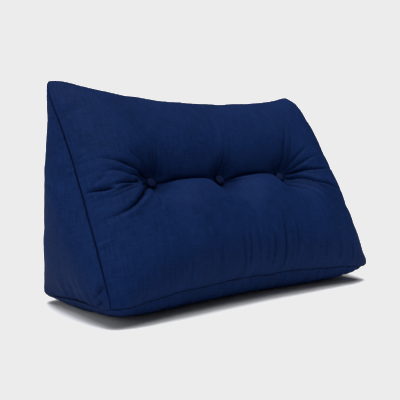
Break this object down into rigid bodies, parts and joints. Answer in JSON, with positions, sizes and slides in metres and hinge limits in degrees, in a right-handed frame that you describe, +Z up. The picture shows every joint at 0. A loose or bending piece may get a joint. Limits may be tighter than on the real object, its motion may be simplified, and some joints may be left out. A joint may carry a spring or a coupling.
{
  "type": "reading pillow",
  "caption": "Filled wedge-shaped reading pillow in plain cloth with plain seams, a tufted fold across its sloping front and covered buttons in the fold.",
  "frame": {"origin": "centre of the bounding box in plan, on the plane the pillow rests on", "axes": "+X to the right along the width seen from the front, +Y from the sloping front to the upright back, +Z up"},
  "size_m": [0.8128, 0.3408, 0.4863],
  "materials": {
    "cover_cloth": "matt slubby navy cotton",
    "button_cloth": "matt navy cotton over a button mould"
  },
  "bodies": {
    "root": {"cushion_body": "cover_cloth", "button_left": "button_cloth", "button_middle": "button_cloth", "button_right": "button_cloth"}
  },
  "joints": []
}
